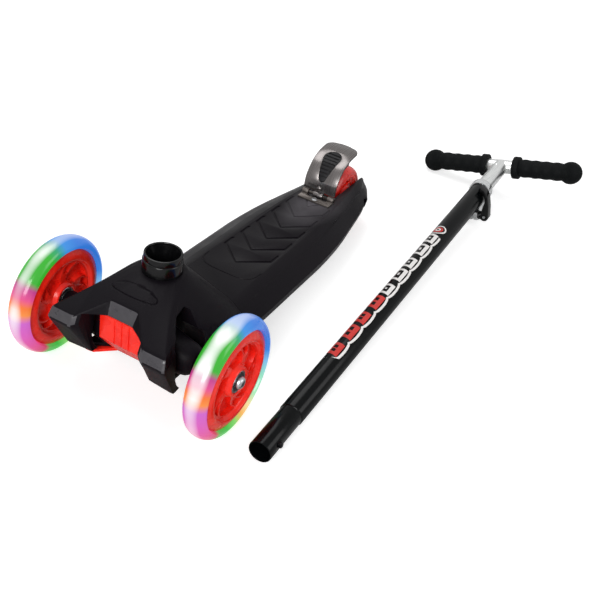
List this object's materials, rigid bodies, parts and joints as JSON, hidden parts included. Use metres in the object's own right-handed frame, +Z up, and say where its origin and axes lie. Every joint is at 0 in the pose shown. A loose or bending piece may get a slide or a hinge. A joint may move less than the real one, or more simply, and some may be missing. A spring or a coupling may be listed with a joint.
{
  "type": "three-wheel kids scooter",
  "caption": "Lean-to-steer kids scooter on lit front wheels and one rear wheel with a foot brake, its telescopic T-bar handle taken off and laid beside the deck.",
  "frame": {"origin": "On the floor, under the middle of the whole footprint of deck unit and T-bar", "axes": "+Z up; -Y is the way the scooter's front faces and +Y runs back to its rear wheel; +X is towards the T-bar lying beside it"},
  "size_m": [0.3534, 0.717, 0.135],
  "materials": {
    "black_plastic": "fine-textured black plastic",
    "red_plastic": "glossy moulded red plastic",
    "clear_tyre": "clear polyurethane tyre lit from inside",
    "red_tyre": "solid translucent red polyurethane",
    "steel": "brushed or zinc-plated steel",
    "aluminium": "polished aluminium",
    "black_paint": "glossy black",
    "rubber": "matt black rubber",
    "white_plastic": "milky light ring"
  },
  "bodies": {
    "scooter": {"deck": "black_plastic", "front_hood": "black_plastic", "socket_bush": "black_paint", "socket_collar": "black_plastic", "hood_screw_1": "steel", "hood_screw_2": "steel", "hood_screw_3": "steel", "hood_screw_4": "steel", "kingpin_bolt": "steel", "upper_bush": "rubber", "lower_bush": "rubber", "brake_foot": "steel", "foot_screw": "steel", "brake_pin": "steel", "brake_spring": "steel", "rear_axle_bolt": "steel", "rear_axle_nut": "steel", "rear_left_spacer": "aluminium", "rear_right_spacer": "aluminium"},
    "truck": {"truck_body": "black_plastic", "truck_cover": "red_plastic", "left_axle_boss": "black_plastic", "right_axle_boss": "black_plastic", "left_axle_bolt": "steel", "right_axle_bolt": "steel"},
    "left_wheel": {"left_core": "red_plastic", "left_tyre": "clear_tyre", "left_outer_bearing": "steel", "left_inner_bearing": "steel", "left_sleeve": "aluminium", "left_led_ring": "white_plastic"},
    "right_wheel": {"right_core": "red_plastic", "right_tyre": "clear_tyre", "right_outer_bearing": "steel", "right_inner_bearing": "steel", "right_sleeve": "aluminium", "right_led_ring": "white_plastic"},
    "rear_wheel": {"rear_core": "red_plastic", "rear_tyre": "red_tyre", "rear_outer_bearing": "steel", "rear_inner_bearing": "steel", "rear_sleeve": "aluminium"},
    "brake": {"brake_plate": "steel", "brake_pad": "black_plastic", "brake_rivet": "steel"},
    "t_bar": {"lower_tube": "black_paint", "guide_bush": "black_plastic", "clamp_collar": "aluminium", "clamp_bolt": "steel", "cam_washer": "black_plastic", "lever_pin": "steel"},
    "handlebar_set": {"handlebar": "aluminium", "left_grip": "rubber", "right_grip": "rubber"},
    "clamp_lever": {"clamp_lever": "black_plastic"},
    "lock_button": {"lock_button": "steel", "button_clip": "steel"}
  },
  "joints": [
    {"name": "truck_steer", "type": "hinge", "parent": "scooter", "child": "truck", "pos_m": [-0.06285, -0.29248, 0.06], "axis": [0, -0.5, 0.866], "range_deg": [-10, 10], "stiffness_Nm_per_rad": 25},
    {"name": "left_wheel_spin", "type": "hinge", "parent": "truck", "child": "left_wheel", "pos_m": [-0.16055, -0.29848, 0.06], "axis": [1, 0, 0], "continuous": true},
    {"name": "right_wheel_spin", "type": "hinge", "parent": "truck", "child": "right_wheel", "pos_m": [0.03485, -0.29848, 0.06], "axis": [1, 0, 0], "continuous": true},
    {"name": "rear_wheel_spin", "type": "hinge", "parent": "scooter", "child": "rear_wheel", "pos_m": [-0.06285, 0.11052, 0.038], "axis": [1, 0, 0], "continuous": true},
    {"name": "brake_press", "type": "hinge", "parent": "scooter", "child": "brake", "pos_m": [-0.06285, 0.05152, 0.0616], "axis": [1, 0, 0], "range_deg": [-8, 0], "stiffness_Nm_per_rad": 1.5, "springref_deg": 11.46},
    {"name": "t_bar_lift", "type": "slide", "parent": "scooter", "child": "t_bar", "axis": [0, 0, 1], "range_m": [0, 0.25]},
    {"name": "handle_telescope", "type": "slide", "parent": "t_bar", "child": "handlebar_set", "axis": [-0.0227, 0.9989, 0.0411], "range_m": [-0.06, 0.045]},
    {"name": "clamp_lever_turn", "type": "hinge", "parent": "t_bar", "child": "clamp_lever", "pos_m": [0.09223, 0.23775, 0.01513], "axis": [-0.0227, 0.9989, 0.0411], "range_deg": [0, 100]},
    {"name": "button_press", "type": "slide", "parent": "t_bar", "child": "lock_button", "axis": [-0.968, -0.0117, -0.2506], "range_m": [0, 0.0027], "stiffness_N_per_m": 900, "springref_m": -0.001}
  ]
}
